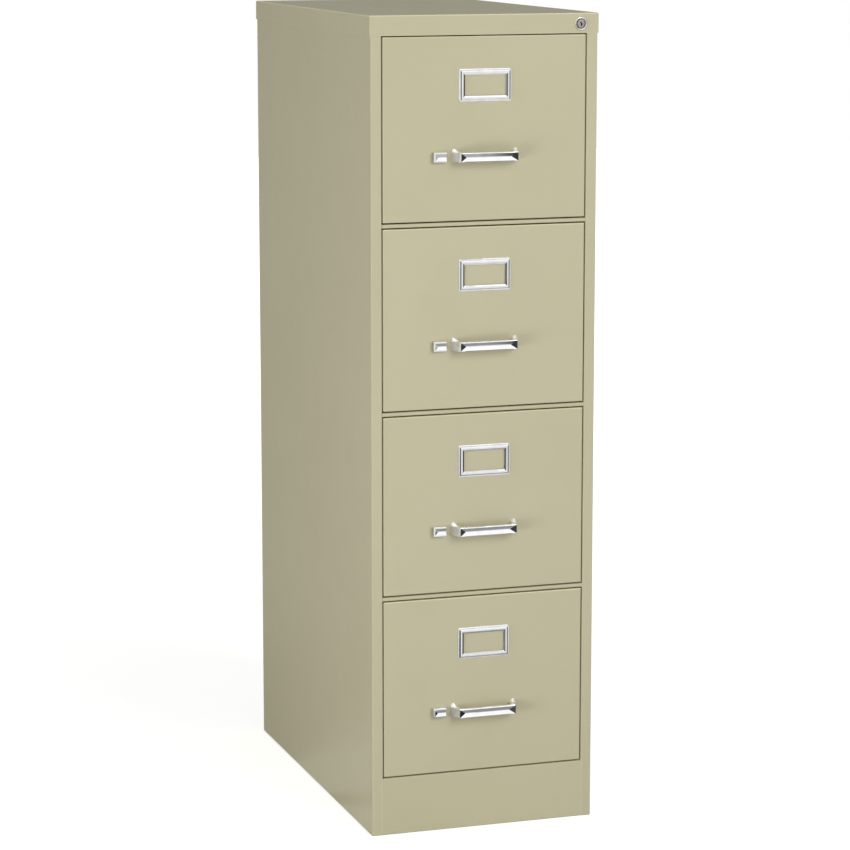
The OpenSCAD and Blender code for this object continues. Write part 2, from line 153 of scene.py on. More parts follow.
class Finish(Tree):
    """One material, whose patterns lie differently on each object."""

    def __init__(self, name):
        self.material = bpy.data.materials.new(name)
        self.material.use_nodes = True
        super().__init__(self.material.node_tree)
        self.shader = self.tree.nodes["Principled BSDF"]
        coordinates = self.add("ShaderNodeTexCoord")
        info = self.add("ShaderNodeObjectInfo")
        shift = self.add("ShaderNodeVectorMath", operation="MULTIPLY_ADD")
        self.link(info.outputs["Random"], shift.inputs[0])
        shift.inputs[1].default_value = (3.1, 5.7, 4.3)
        self.link(coordinates.outputs["Object"], shift.inputs[2])
        self.place = shift.outputs[0]

    def noise(self, scale, detail=4.0, roughness=0.55, stretch=None):
        """Noise of about 1 / scale metres, stretched along an axis where stretch says so."""
        node = self.add("ShaderNodeTexNoise")
        node.inputs["Scale"].default_value = scale
        node.inputs["Detail"].default_value = detail
        node.inputs["Roughness"].default_value = roughness
        source = self.place
        if stretch:
            mapping = self.add("ShaderNodeMapping")
            mapping.inputs["Scale"].default_value = stretch
            self.link(self.place, mapping.inputs["Vector"])
            source = mapping.outputs["Vector"]
        self.link(source, node.inputs["Vector"])
        return node.outputs["Fac"]

    def mix(self, factor, first, second):
        """first where factor is 0, second where it is 1."""
        node = self.add("ShaderNodeMix", data_type="RGBA")
        self.feed(factor, node.inputs["Factor"])
        self.feed(first, node.inputs["A"])
        self.feed(second, node.inputs["B"])
        return node.outputs["Result"]

    def edges(self, radius=1.4 * MM, low=0.015, high=0.2):
        """Bright along bends, rims and corners, and nothing on the flats."""
        smooth = self.add("ShaderNodeBevel", samples=2)
        smooth.inputs["Radius"].default_value = radius
        geometry = self.add("ShaderNodeNewGeometry")
        dot = self.add("ShaderNodeVectorMath", operation="DOT_PRODUCT")
        self.link(smooth.outputs["Normal"], dot.inputs[0])
        self.link(geometry.outputs["Normal"], dot.inputs[1])
        return self.spread(self.math("SUBTRACT", 1.0, dot.outputs["Value"]), low, high)

    def bump(self, height, distance, strength=1.0, after=None):
        """A bump of the given depth, on top of another bump where there is one."""
        node = self.add("ShaderNodeBump")
        node.inputs["Distance"].default_value = distance
        node.inputs["Strength"].default_value = strength
        self.link(height, node.inputs["Height"])
        if after is not None:
            self.link(after, node.inputs["Normal"])
        return node.outputs["Normal"]

    def set(self, **values):
        """Feeds the shader's inputs, with _ for a space in their names, and gives the material."""
        for key, value in values.items():
            self.feed(value, self.shader.inputs[key.replace("_", " ")])
        return self.material


# ---------------------------------------------------------------- materials


def paint(name, colour, shade):
    """Baked enamel on sheet steel: a faint orange peel, slight cloudiness, and lighter paint along the
    bends that is part edge wear and part painted highlight.
    """
    n = Finish(name)
    cloud = n.noise(1.9, 3.0)
    fine = n.noise(160.0, 2.0)
    grime = n.noise(9.0, 6.0, 0.65)
    peel = n.noise(420.0, 2.0, 0.5)
    wave = n.noise(28.0, 2.0, 0.5)
    dirty = tuple(c * 0.94 for c in shade)
    wear_and_highlight = tuple(min(1.0, c * 1.4 + 0.06) for c in colour)
    base = n.mix(n.spread(cloud, 0.35, 0.65), colour, shade)
    base = n.mix(n.math("MULTIPLY", n.spread(grime, 0.52, 0.75), 0.3), base, dirty)
    # Lighter along bends, rims and corners: part edge wear, part painted highlight
    base = n.mix(n.math("MULTIPLY", n.edges(), n.spread(fine, 0.3, 0.7, 0.5, 0.9)), base, wear_and_highlight)
    rough = n.spread(n.math("ADD", grime, fine), 0.7, 1.3, 0.40, 0.52)
    normal = n.bump(peel, 0.05 * MM)
    normal = n.bump(wave, 0.16 * MM, 0.6, normal)
    return n.set(
        Base_Color=base, Roughness=rough, Normal=normal,
        Specular_IOR_Level=0.3, Coat_Weight=0.35, Coat_Roughness=0.2,
    )


def chrome(name, low, high, light, dull):
    """Chrome plate of low to high roughness, with faint polishing lines and a few hazy patches."""
    n = Finish(name)
    haze = n.noise(60.0, 5.0, 0.6)
    lines = n.noise(900.0, 2.0, 0.5, (0.06, 1.0, 1.0))
    pit = n.noise(2600.0, 1.0, 0.4)
    base = n.mix(n.spread(haze, 0.4, 0.7), light, dull)
    rough = n.spread(n.math("ADD", haze, lines), 0.8, 1.3, low, high)
    normal = n.bump(lines, 0.006 * MM)
    normal = n.bump(pit, 0.004 * MM, 0.5, normal)
    return n.set(Base_Color=base, Roughness=rough, Normal=normal, Metallic=1.0)


def bare_steel(name, light, dark, scale):
    """Plated rolled steel: soft spangle of about 1 / scale metres, rolling lines and rubbed edges."""
    n = Finish(name)
    spangle = n.add("ShaderNodeTexVoronoi")
    spangle.inputs["Scale"].default_value = scale
    n.link(n.place, spangle.inputs["Vector"])
    cell = n.add("ShaderNodeSeparateColor")
    n.link(spangle.outputs["Color"], cell.inputs["Color"])
    lines = n.noise(300.0, 3.0, 0.6, (1.0, 0.03, 1.0))
    rubbed = tuple(min(1.0, c * 1.2) for c in light)
    base = n.mix(n.math("MULTIPLY", cell.outputs["Red"], 0.55), light, dark)
    base = n.mix(n.math("MULTIPLY", n.edges(), 0.6), base, rubbed)
    rough = n.spread(n.math("ADD", cell.outputs["Green"], lines), 0.3, 1.6, 0.24, 0.46)
    normal = n.bump(lines, 0.02 * MM)
    return n.set(Base_Color=base, Roughness=rough, Normal=normal, Metallic=1.0)


def dark_recess(name):
    """The unlit inside of the keyhole."""
    n = Finish(name)
    speck = n.noise(700.0, 3.0)
    base = n.mix(n.spread(speck, 0.4, 0.7), (0.006, 0.006, 0.006), (0.02, 0.019, 0.018))
    return n.set(Base_Color=base, Roughness=n.spread(speck, 0.3, 0.7, 0.5, 0.8))


PUTTY = (0.552, 0.518, 0.352)
PUTTY_SHADE = (0.532, 0.498, 0.334)
INNER = (0.50, 0.468, 0.315)
INNER_SHADE = (0.475, 0.444, 0.296)
# How much lighter the painted highlight on the upper bends is than the paint
BEND_HIGHLIGHT_GAIN = 1.4

MATERIALS = {
    "case_paint": paint("case_enamel", PUTTY, PUTTY_SHADE),
    "front_paint": paint("front_enamel", PUTTY, PUTTY_SHADE),
    "inner_paint": paint("inner_enamel", INNER, INNER_SHADE),
    "chrome": chrome("chrome_plate", 0.045, 0.13, (0.93, 0.93, 0.945), (0.86, 0.865, 0.885)),
    "zinc_steel": bare_steel("zinc_plate", (0.62, 0.63, 0.64), (0.44, 0.45, 0.46), 55.0),
    "lock_metal": bare_steel("lock_nickel", (0.62, 0.57, 0.54), (0.36, 0.32, 0.30), 240.0),
}
RECESS = dark_recess("keyhole_dark")
# Painted highlight for the upper bends of the fronts and the cover: a lighter copy of the paint
PAINTED_BEND_HIGHLIGHT = paint(
    "bend_painted_highlight", tuple(c * BEND_HIGHLIGHT_GAIN for c in PUTTY), tuple(c * BEND_HIGHLIGHT_GAIN for c in PUTTY_SHADE)
)
SATIN = chrome("chrome_satin", 0.46, 0.56, (0.98, 0.98, 0.985), (0.95, 0.95, 0.96))


# ---------------------------------------------------------------- mesh tools


def new_mesh(name, verts, faces):
    mesh = bpy.data.meshes.new(name)
    mesh.from_pydata([tuple(v) for v in verts], [], faces)
    tool = bmesh.new()
    tool.from_mesh(mesh)
    bmesh.ops.remove_doubles(tool, verts=tool.verts, dist=1e-7)
    bmesh.ops.recalc_face_normals(tool, faces=tool.faces)
    tool.to_mesh(mesh)
    tool.free()
    return mesh


def skin(loops, wrap=False):
    """Faces between rings of equal length, with the ends closed, or joined to each other by wrap."""
    count = len(loops[0])
    verts = [v for loop in loops for v in loop]
    faces = []
    pairs = list(zip(range(len(loops) - 1), range(1, len(loops))))
    if wrap:
        pairs.append((len(loops) - 1, 0))
    for a, b in pairs:
        for k in range(count):
            m = (k + 1) % count
            faces.append((a * count + k, a * count + m, b * count + m, b * count + k))
    if not wrap:
        last = (len(loops) - 1) * count
        faces.append(tuple(range(count)))
        faces.append(tuple(last + k for k in reversed(range(count))))
    return verts, faces


def joined(parts):
    """Several (verts, faces) as one."""
    verts, faces = [], []
    for v, f in parts:
        base = len(verts)
        verts += list(v)
        faces += [tuple(base + k for k in face) for face in f]
    return verts, faces


def round_rect(width, height, radius, steps=CORNER_STEPS):
    """Points round a rectangle with round corners, centred on 0, 0."""
    radius = max(radius, 0.02 * MM)
    points = []
    for turn, (sx, sy) in enumerate(((1, 1), (-1, 1), (-1, -1), (1, -1))):
        for k in range(steps + 1):
            a = math.pi / 2 * (turn + k / steps)
            x = sx * (width / 2 - radius) + radius * math.cos(a)
            y = sy * (height / 2 - radius) + radius * math.sin(a)
            points.append((x, y))
    return points


def rim_loops(width, height, corner, profile, place):
    """One ring of a round-cornered rectangle for each (inset, out) of the profile."""
    loops = []
    for inset, out in profile:
        ring = round_rect(width - 2 * inset, height - 2 * inset, corner - inset)
        loops.append([place(x, y, out) for x, y in ring])
    return loops


def arc(centre, radius, start, end, steps):
    """Points on an arc, both ends included."""
    angles = [math.radians(start + (end - start) * k / steps) for k in range(steps + 1)]
    return [(centre[0] + radius * math.cos(a), centre[1] + radius * math.sin(a)) for a in angles]


def pan(width, height, depth, place):
    """A pressed pan. Its profile runs from the outer face over the bend, wall and rim to the inside."""
    bend = (0, depth - BEND)
    outer = [(BEND - x, y) for x, y in arc(bend, BEND, 90, 0, BEND_STEPS)]
    inner = [(BEND - x, y) for x, y in arc(bend, BEND - SHEET, 0, 90, BEND_STEPS)]
    profile = outer + [(0, 0), (SHEET, 0)] + inner
    return skin(rim_loops(width, height, PAN_CORNER, profile, place))


def lathe(profile, centre, axis="y", steps=48):
    """Rings of (radius, along) round an axis through centre. along counts towards +axis."""
    loops = []
    for radius, along in profile:
        ring = []
        for k in range(steps):
            a = 2 * math.pi * k / steps
            u, v = max(radius, 1e-5) * math.cos(a), max(radius, 1e-5) * math.sin(a)
            shift = {"y": (u, along, v), "x": (along, u, v)}[axis]
            ring.append(Vector(centre) + Vector(shift))
        loops.append(ring)
    return loops


def block(lo, hi):
    """A box from corner to corner."""
    xs, ys, zs = zip(lo, hi)
    verts = [(x, y, z) for x in xs for y in ys for z in zs]
    faces = [(0, 1, 3, 2), (4, 6, 7, 5), (0, 4, 5, 1), (2, 3, 7, 6), (0, 2, 6, 4), (1, 5, 7, 3)]
    return verts, faces


def bead_mesh(width, height, out, place):
    """A raised field with rolled edges, pressed out of a sheet."""
    roll, corner = 3.6 * MM, 6.0 * MM
    rise = ((0, 0), (0.25, 0.12), (0.5, 0.5), (0.75, 0.88), (1, 1))
    return skin(rim_loops(width, height, corner, [(roll * s, out * t) for s, t in rise], place))


def dome_mesh(centre, radius, height, axis, sign):
    """A low rivet head or weld mark on a sheet, on the side of it that sign says."""
    profile = [(radius, 0), (radius * 0.92, height * 0.45), (radius * 0.65, height * 0.85), (0, height)]
    return skin(lathe([(r, sign * h) for r, h in profile], centre, axis, steps=20))


# ---------------------------------------------------------------- pieces


def cut(obj, cutters):
    """Cuts closed (verts, faces) solids out of an object's mesh, for good."""
    tool = bpy.data.objects.new("cutter", new_mesh("cutter", *joined(cutters)))
    bpy.context.scene.collection.objects.link(tool)
    boolean = obj.modifiers.new("cut", "BOOLEAN")
    boolean.object = tool
    boolean.operation = "DIFFERENCE"
    boolean.solver = "EXACT"
    graph = bpy.context.evaluated_depsgraph_get()
    result = bpy.data.meshes.new_from_object(obj.evaluated_get(graph))
    obj.modifiers.remove(boolean)
    obj.data = result
    bpy.data.objects.remove(tool)


def soften(obj, width=EDGE, angle=35.0, segments=2, weight=SHEET_WEIGHT):
    """Small bevels on the edges sharper than angle, and shading that keeps flat faces flat."""
    if width:
        bevel = obj.modifiers.new("edges", "BEVEL")
        bevel.width = width
        bevel.segments = segments
        bevel.limit_method = "ANGLE"
        bevel.angle_limit = math.radians(angle)
        bevel.harden_normals = False
    normals = obj.modifiers.new("normals", "WEIGHTED_NORMAL")
    normals.keep_sharp = True
    normals.weight = weight
    for polygon in obj.data.polygons:
        polygon.use_smooth = True


def new_object(name, verts_faces, slot, cutters, at):
    """An object in its slot's material, with the cutters cut out of it before it is put in place."""
    obj = bpy.data.objects.new(name, new_mesh(name, *verts_faces))
    bpy.context.scene.collection.objects.link(obj)
    if cutters:
        cut(obj, cutters)
    obj.data.materials.clear()
    obj.data.materials.append(MATERIALS[slot])
    obj.location = at
    return obj


def piece(name, node, verts_faces, cutters=(), at=(0, 0, 0), **edges):
    """A finished piece that stands for a CAD node and rides on its body."""
    obj = new_object(name, verts_faces, SLOTS[node], cutters, at)
    soften(obj, **edges)
    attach(obj, BODY_OF[node])
    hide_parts(node)
    return obj


def trim(name, body, slot, verts_faces):
    """A small piece that the CAD model doesn't have."""
    obj = new_object(name, verts_faces, slot, (), (0, 0, 0))
    soften(obj, width=0)
    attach(obj, body)
    return obj


def paint_bend_highlight(obj):
    """Painted highlight: a lighter copy of the paint on a pressed sheet's upper bends, between its upright
    and level faces.
    """
    upright, level = 0.25, 0.97
    obj.data.materials.append(PAINTED_BEND_HIGHLIGHT)
    for polygon in obj.data.polygons:
        if upright < polygon.normal.z < level:
            polygon.material_index = 1


def drawer_origin(i):
    """The middle of a drawer front's lower edge, on its face."""
    return Vector((0, FACE_Y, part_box(f"drawer_{i}_front")[0].z))


def handle_origin(i):
    """The middle of a drawer's handle, on the face."""
    return drawer_origin(i) + Vector((0, 0, HANDLE_Z))


def front_place(x, z, out):
    """A point on the face plane: out counts towards the viewer."""
    return Vector((x, -out, z))


# ---------------------------------------------------------------- case


def finish_cad_nodes():
    """The CAD nodes that stay get small bevels on their own meshes, and the finer materials."""
    for name, obj in frame["nodes"].items():
        obj.data.materials.clear()
        obj.data.materials.append(MATERIALS[SLOTS[name]])
        weld = obj.modifiers.new("weld", "WELD")
        weld.merge_threshold = 1e-6
        flats = obj.modifiers.new("flats", "DECIMATE")
        flats.decimate_type = "DISSOLVE"
        flats.angle_limit = math.radians(0.4)
        soften(obj, SHEET_EDGE, 40.0, 1)


def fit_drawer_fronts():
    """Pressed outer shells with the latch slot, the hole for the latch rod and the screw holes."""
    size = FRONT_HI - FRONT_LO
    slot = Vector((BUTTON_X - 8.5 * MM, -MM, HANDLE_Z - 4.5 * MM))
    slot_size = Vector((15 * MM, 3 * MM, 9 * MM))
    rod_hole_half, rod_hole_deep = 9 * MM, 2 * MM
    screw_hole = [(2.4 * MM, -MM), (2.4 * MM, 3 * MM)]

    def place(x, z, out):
        return Vector((x, size.y - out, z + size.z / 2))

    cutters = [
        block(slot, slot + slot_size),
        block(
            (-size.x, 6 * MM, HANDLE_Z - rod_hole_half),
            (rod_hole_deep - size.x / 2, 16 * MM, HANDLE_Z + rod_hole_half),
        ),
    ]
    for x in (-SCREW_X, SCREW_X):
        cutters.append(skin(lathe(screw_hole, (x, 0, HANDLE_Z), steps=24)))
    mesh = pan(size.x, size.z, size.y, place)
    for i in DRAWERS:
        paint_bend_highlight(piece(
            f"drawer_{i}_shell", f"drawer_{i}_front", mesh,
            cutters=cutters, at=drawer_origin(i), width=SHEET_EDGE,
        ))


def fit_cover():
    """A pan over the case, with a return under its front lip and the hole for the lock."""
    size = COVER_HI - COVER_LO
    mid_y = ((COVER_LO + COVER_HI) / 2).y
    front = COVER_LO.y
    return_deep = 12.5 * MM

    def place(x, y, out):
        return Vector((x, y + mid_y, COVER_LO.z + out))

    through = [(LOCK_HOLE_R, front - MM), (LOCK_HOLE_R, front + 3 * MM)]
    hole = skin(lathe(through, (LOCK_X, 0, LOCK_Z), steps=40))
    mesh = pan(size.x, size.y, size.z, place)
    paint_bend_highlight(piece("cover_shell", "top_cover", mesh, cutters=[hole], width=SHEET_EDGE))
    strip = block(
        (-FRONT_HI.x, front + SHEET / 2, COVER_LO.z),
        (FRONT_HI.x, front + return_deep, COVER_LO.z + SHEET),
    )
    piece("cover_return", "top_cover", strip, width=0.2 * MM)


def fit_back():
    """Stiffening beads pressed into the back panel, and the marks of its spot welds."""
    lo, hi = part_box("back_panel")
    height = hi.z - lo.z
    mid_z = (lo.z + hi.z) / 2

    def place_round(centre_x):
        return lambda x, z, out: Vector((centre_x + x, hi.y - 0.3 * MM + out, z + mid_z))

    beads = [
        bead_mesh(26 * MM, height - 200 * MM, 2.2 * MM, place_round(x)) for x in (-95 * MM, 0, 95 * MM)
    ]
    trim("back_beads", "case", "case_paint", joined(beads))

    count, from_side, from_end = 9, 12 * MM, 45 * MM
    marks = []
    for side in (-1, 1):
        for k in range(count):
            z = lo.z + from_end + (height - 2 * from_end) * k / (count - 1)
            centre = (side * (hi.x - from_side), hi.y - 0.1 * MM, z)
            marks.append(dome_mesh(centre, 3.2 * MM, 0.6 * MM, "y", 1))
    trim("back_weld_marks", "case", "case_paint", joined(marks))


def fit_slide_rivets():
    """Rivet heads inside each tray, where its slide members are fixed."""
    first, pitch, count = 0.08, 0.28, 4
    for i in DRAWERS:
        tray_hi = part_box(f"drawer_{i}_tray")[1]
        slide_lo, slide_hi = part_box(f"drawer_{i}_slide_members")
        wall_x = tray_hi.x - SHEET - 0.05 * MM
        mid_z = (slide_lo.z + slide_hi.z) / 2
        heads = []
        for side in (-1, 1):
            for k in range(count):
                y = slide_lo.y + (slide_hi.y - slide_lo.y) * (first + pitch * k)
                heads.append(dome_mesh((side * wall_x, y, mid_z), 4.2 * MM, 1.3 * MM, "x", -side))
        trim(f"drawer_{i}_rivets", f"drawer_{i}", "zinc_steel", joined(heads))


# ---------------------------------------------------------------- handle


def turned(start, sections):
    """Points along a curve that starts at a point and turns.

    Each section is its length, first angle and last angle. The angle is how far the curve has turned
    from the front: at 0 it runs to the right, and at 90 straight back.
    """
    step_angle = 7.0
    points = [Vector(start)]
    for length, first, last in sections:
        steps = max(1, round(abs(last - first) / step_angle))
        for k in range(steps):
            angle = math.radians(first + (last - first) * (k + 0.5) / steps)
            points.append(points[-1] + Vector((math.cos(angle), math.sin(angle))) * length / steps)
    return points


def handle_plan():
    """Stations of the handle's right half seen from above, bar to foot: outer point, inner point, scoop."""
    bar_end, bar_deep, foot_wide = HANDLE_HALF - 9.4 * MM, 6.4 * MM, 11.5 * MM
    foot_y = -0.05 * MM
    front_y, inner_y = -HANDLE_REACH, bar_deep - HANDLE_REACH
    leg = [(2.4 * MM, 24, 71), (20.4 * MM, 72, 72), (3.4 * MM, 71, 52)]
    outside = turned((bar_end, front_y), leg)
    outside[-1] = Vector((HANDLE_HALF, foot_y))
    turn = turned((bar_end - 7.0 * MM, inner_y), [(5.0 * MM, 8, 78)])
    foot = Vector((HANDLE_HALF - foot_wide, foot_y))
    rest = len(outside) - len(turn)
    inside = turn + [turn[-1].lerp(foot, (k + 1) / rest) for k in range(rest)]
    bar = [
        (Vector((x, front_y)), Vector((x, inner_y)), 1.0)
        for x in (0.0, 0.4 * bar_end, bar_end - 9.5 * MM)
    ]
    return bar + [(a, b, 0.0) for a, b in zip(outside, inside)]


def handle_ring(outer, inner, scoop, half_h, gable):
    """A ring round the handle: a scooped outer face with wide chamfers, and a gabled top and bottom."""
    across = inner - outer
    way = across.normalized()
    thickness = across.length
    line = 0.5 * MM
    rim = half_h - (1.0 + 0.7 * scoop) * MM
    deep = 3.3 * MM * scoop + 0.02 * MM
    column = [
        (half_h - 0.3 * MM, 1.5 * MM), (half_h - 0.9 * MM, 0.6 * MM), (rim, 0.0),
        (line + (rim - line) * (1 - scoop) * 0.97, deep), (line * 0.9, deep),
    ]
    ring = [(outer + way * depth, z) for z, depth in column]
    ring += [(p, -z) for p, z in reversed(ring)]
    gables = ((2.0 * MM / thickness, 0.62), (0.42, 1.0), (0.62, 0.8), (0.82, 0.5), (0.95, 0.18))
    edge = [(outer + across * s, half_h + gable * ridge) for s, ridge in gables]
    edge.append((inner, half_h - 0.6 * MM))
    under = 0.25
    ring += [(p, -half_h + (half_h - z) * under) if z > half_h else (p, -z) for p, z in edge]
    ring += [(inner, z) for z in (-half_h * 0.5, 0.0, half_h * 0.5)]
    ring += edge[::-1]
    return [Vector((p.x, p.y, z)) for p, z in ring]


def handle_mesh():
    """A bright bail: a bar with a V-shaped scoop, and legs that sweep out to a ridged foot."""
    ridge_h, ridge_reach = 5.2 * MM, 5.2 * MM
    half = []
    for outer, inner, scoop in handle_plan():
        near = max(0.0, 1 + (outer.y + inner.y) / 2 / ridge_reach)
        half.append(handle_ring(outer, inner, scoop, BAR_H / 2, ridge_h * near ** 1.3))
    mirror = [[Vector((-v.x, v.y, v.z)) for v in ring] for ring in half[:0:-1]]
    return skin(mirror + half)


def fit_handles():
    """The handles, with a satin finish on the sides of their legs and on the ridges of their feet."""
    sideways = 0.6
    for i in DRAWERS:
        handle = piece(
            f"drawer_{i}_handle_casting", f"drawer_{i}_handle", handle_mesh(),
            at=handle_origin(i), width=0.2 * MM, angle=15.0, weight=CHROME_WEIGHT,
        )
        handle.data.materials.append(SATIN)
        for polygon in handle.data.polygons:
            ridge = abs(polygon.center.z) > BAR_H / 2 + 0.2 * MM
            polygon.material_index = int(ridge or abs(polygon.normal.x) > sideways)


def screw_mesh(x):
    """A pan-head screw with a hollow in its head, which is inside the drawer."""
    head_r, shank_r = 3.8 * MM, 1.6 * MM
    profile = [
        (shank_r * 0.7, -4.5 * MM), (shank_r, -3.9 * MM), (shank_r, SHEET), (head_r, SHEET),
        (head_r, SHEET + 1.0 * MM), (head_r - 0.5 * MM, SHEET + 1.8 * MM),
        (head_r - 1.4 * MM, SHEET + 2.5 * MM), (1.5 * MM, SHEET + 2.75 * MM),
        (1.2 * MM, SHEET + 2.6 * MM), (0.8 * MM, SHEET + 1.2 * MM),
    ]
    return skin(lathe(profile, (x, 0, 0), steps=28))


def fit_screws():
    """Two screws for each handle."""
    for i in DRAWERS:
        mesh = joined([screw_mesh(-SCREW_X), screw_mesh(SCREW_X)])
        piece(
            f"drawer_{i}_screws", f"drawer_{i}_handle_screws", mesh,
            at=handle_origin(i), width=0.1 * MM,
        )


# ---------------------------------------------------------------- label holder and latch


def label_holder_mesh():
    """A pressed frame: thin flange, half-round bead and a window with a card slot behind it."""
    width, height = LABEL_HI.x - LABEL_LO.x, LABEL_HI.z - LABEL_LO.z
    flange = [(0.0, 0.0), (0.0, 0.6), (0.25, 0.85), (1.55, 0.9), (1.75, 0.45)]
    bead = [(2.0, 0.9), (2.2, 2.3), (3.5, 2.8), (4.0, 3.12), (5.2, 3.2), (6.5, 3.14), (7.8, 2.64)]
    window = [(8.1, 1.9), (9.1, 1.6), (9.3, 1.3), (9.1, 1.1), (4.6, 1.1), (4.4, 0.0)]
    profile = [(inset * MM, out * MM) for inset, out in flange + bead + window]
    return skin(rim_loops(width, height, 3.0 * MM, profile, front_place), wrap=True)


def fit_label_holders():
    """The label holders, all at the same height on their fronts."""
    mid = Vector((0, 0, (LABEL_LO.z + LABEL_HI.z) / 2 - FRONT_LO.z))
    for i in DRAWERS:
        piece(
            f"drawer_{i}_label_frame", f"drawer_{i}_label_holder", label_holder_mesh(),
            at=drawer_origin(i) + mid, width=0.07 * MM, angle=13.0, weight=CHROME_WEIGHT,
        )


def latch_button_mesh():
    """A thumb slide: a C-shaped rim, open on the handle's side, round a V-shaped hollow."""
    w, h = BUTTON_HI.x - BUTTON_LO.x, BUTTON_HI.z - BUTTON_LO.z
    reach = FACE_Y - BUTTON_LO.y
    lift, rim, deep, slope, line = 0.4 * MM, 2.6 * MM, 2.7 * MM, 5.4 * MM, 0.3 * MM
    chamfer, chamfer_deep, side_deep = 0.7 * MM, 0.15 * MM, 1.2 * MM
    top = h / 2
    inner = top - rim
    stations = ((-w / 2, 0.0), (-w / 2 + rim, 0.0), (-w / 2 + rim + slope, 1.0), (w / 2, 1.0))
    loops = []
    for x, hollow in stations:
        low = reach - deep * hollow
        fold = line + (inner - line) * (1 - hollow) * 0.97
        front = [(top - chamfer, reach - chamfer_deep), (inner, reach), (fold, low)]
        front += [(-z, out) for z, out in front[::-1]]
        back = [(-top, reach - side_deep), (-top, lift), (top, lift), (top, reach - side_deep)]
        loops.append([front_place(x, z, out) for z, out in front + back])
    stem = block((-8 * MM, -lift - 0.2 * MM, -4 * MM), (-2 * MM, 5 * MM, 4 * MM))
    return joined([skin(loops), stem])


def fit_latches():
    """The thumb latches, level with the handles."""
    for i in DRAWERS:
        at = handle_origin(i) + Vector((BUTTON_X, 0, 0))
        piece(
            f"drawer_{i}_thumb_latch", f"drawer_{i}_latch_button", latch_button_mesh(),
            at=at, width=0.18 * MM, angle=14.0, weight=CHROME_WEIGHT,
        )


# ---------------------------------------------------------------- lock


def keyway(y, grow=0.0, steps=48):
    """A ring round a wavy keyhole: a slot whose upper half steps to the left."""
    half_w, half_h = 1.1 * MM + grow, 3.1 * MM + grow
    kink, kink_z, kink_h, shift = 1.3 * MM, 0.2 * MM, 1.6 * MM, 0.4 * MM
    ring = []
    for k in range(steps):
        a = 2 * math.pi * k / steps
        c, s = math.cos(a), math.sin(a)
        r = min(half_w / max(abs(c), 1e-6), half_h / max(abs(s), 1e-6))
        z = r * s
        left = kink * min(1.0, max(0.0, (z - kink_z) / kink_h))
        ring.append(Vector((LOCK_X + r * c - left + shift, y, LOCK_Z + z)))
    return ring


def fit_lock():
    """A dished bezel round a plug with a wavy keyway."""
    bezel_r = (LOCK_HI.x - LOCK_LO.x) / 2
    plug_r = (PLUG_HI.x - PLUG_LO.x) / 2
    bore_r, keyhole_r = plug_r + 0.06 * MM, 3.4 * MM
    lip_y = COVER_LO.y
    front, back = LOCK_LO.y, LOCK_HI.y
    centre = (LOCK_X, 0, LOCK_Z)
    profile = [
        (BARREL_R, back), (BARREL_R, lip_y + 0.2 * MM), (bezel_r, lip_y), (bezel_r, lip_y - 0.8 * MM),
        (bezel_r - 0.3 * MM, front + 0.6 * MM), (bezel_r - 0.8 * MM, front + 0.15 * MM),
        (bezel_r - 1.4 * MM, front), (bezel_r - 2.0 * MM, front + 0.3 * MM),
        (bezel_r - 2.4 * MM, front + 1.2 * MM), (plug_r + 0.4 * MM, front + 1.9 * MM),
        (bore_r, front + 2.2 * MM), (bore_r, back),
    ]
    bezel = skin(lathe(profile, centre), wrap=True)
    piece("lock_bezel", "lock_housing", bezel, width=0.1 * MM, angle=50.0)

    nose = PLUG_LO.y + 1.0 * MM
    outside = lathe([
        (plug_r, PLUG_HI.y), (plug_r, nose + 0.6 * MM), (plug_r - 0.6 * MM, nose),
        (plug_r - 2.0 * MM, nose - 0.25 * MM),
    ], centre)
    hole = [keyway(nose - 0.2 * MM, 0.25 * MM), keyway(nose), keyway(nose + 9 * MM)]
    plug = piece("lock_plug_face", "lock_plug", skin(outside + hole), width=0)
    plug.data.materials.append(RECESS)
    for polygon in plug.data.polygons:
        y = polygon.center.y
        near = (polygon.center - Vector((LOCK_X, y, LOCK_Z))).length < keyhole_r
        if near and nose + 0.5 * MM < y < PLUG_HI.y - MM:
            polygon.material_index = 1


# ---------------------------------------------------------------- scene

# Dark flags that only reflections see: from and to in degrees right of the front
FLAGS = ((-70, -54), (-32, -12), (46, 84))
FLOOR_FLAGS = ((-70, -54), (-34, -8), (28, 84))
FLAG_DARK = 0.95
FLAG_SOFT = 0.05

# The room's lit part, in radians right of the front, and the share of its light that is left behind
ROOM_FRONT = (-2.2, 1.85)
ROOM_SOFT = 0.1
ROOM_BACK = 0.15

# Sines of the elevations over which the walls turn into the ceiling, and that into the overhead light
WALL_TOP = (0.2, 0.8)
OVERHEAD = (0.86, 0.97)

# Diffuse light: all round, added on the left, and from above
ROOM_LEVEL = 0.55
LEFT_LEVEL = 0.26
TOP_LEVEL = 0.33

# What reflections see: the walls, added on the left wall, the ceiling, and added overhead
WALL_LEVEL = 0.86
LEFT_WALL_LEVEL = 0.75
CEILING_LEVEL = 1.1
OVERHEAD_LEVEL = 2.2

KEY_POWER = 85.0
FILL_POWER = 31.0

FLOOR_BOUNCE = 0.8
FLOOR_HALF = 12.0
FLOOR_DROP = 0.2 * MM

# Where the cabinet covers the floor, left to right and front to back
FOOTPRINT_X = (-0.185, 0.185)
FOOTPRINT_Y = (-0.32, 0.34)
FOOTPRINT_SOFT = 0.01

LENS = 129.03
SENSOR_WIDTH = 36.0
CAMERA_AZIMUTH = -18.26
CAMERA_ELEVATION = 9.98
CAMERA_DISTANCE = 5.176
CAMERA_TARGET = (0.0, -0.0219, 0.6167)


def area_light(name, place, target, size, power):
    """A rectangular light that reflections don't see."""
    data = bpy.data.lights.new(name, "AREA")
    data.shape = "RECTANGLE"
    data.size, data.size_y = size
    data.energy = power
    obj = bpy.data.objects.new(name, data)
    obj.location = place
    obj.visible_glossy = False
    obj.rotation_euler = (Vector(target) - Vector(place)).to_track_quat("-Z", "Y").to_euler()
    bpy.context.scene.collection.objects.link(obj)


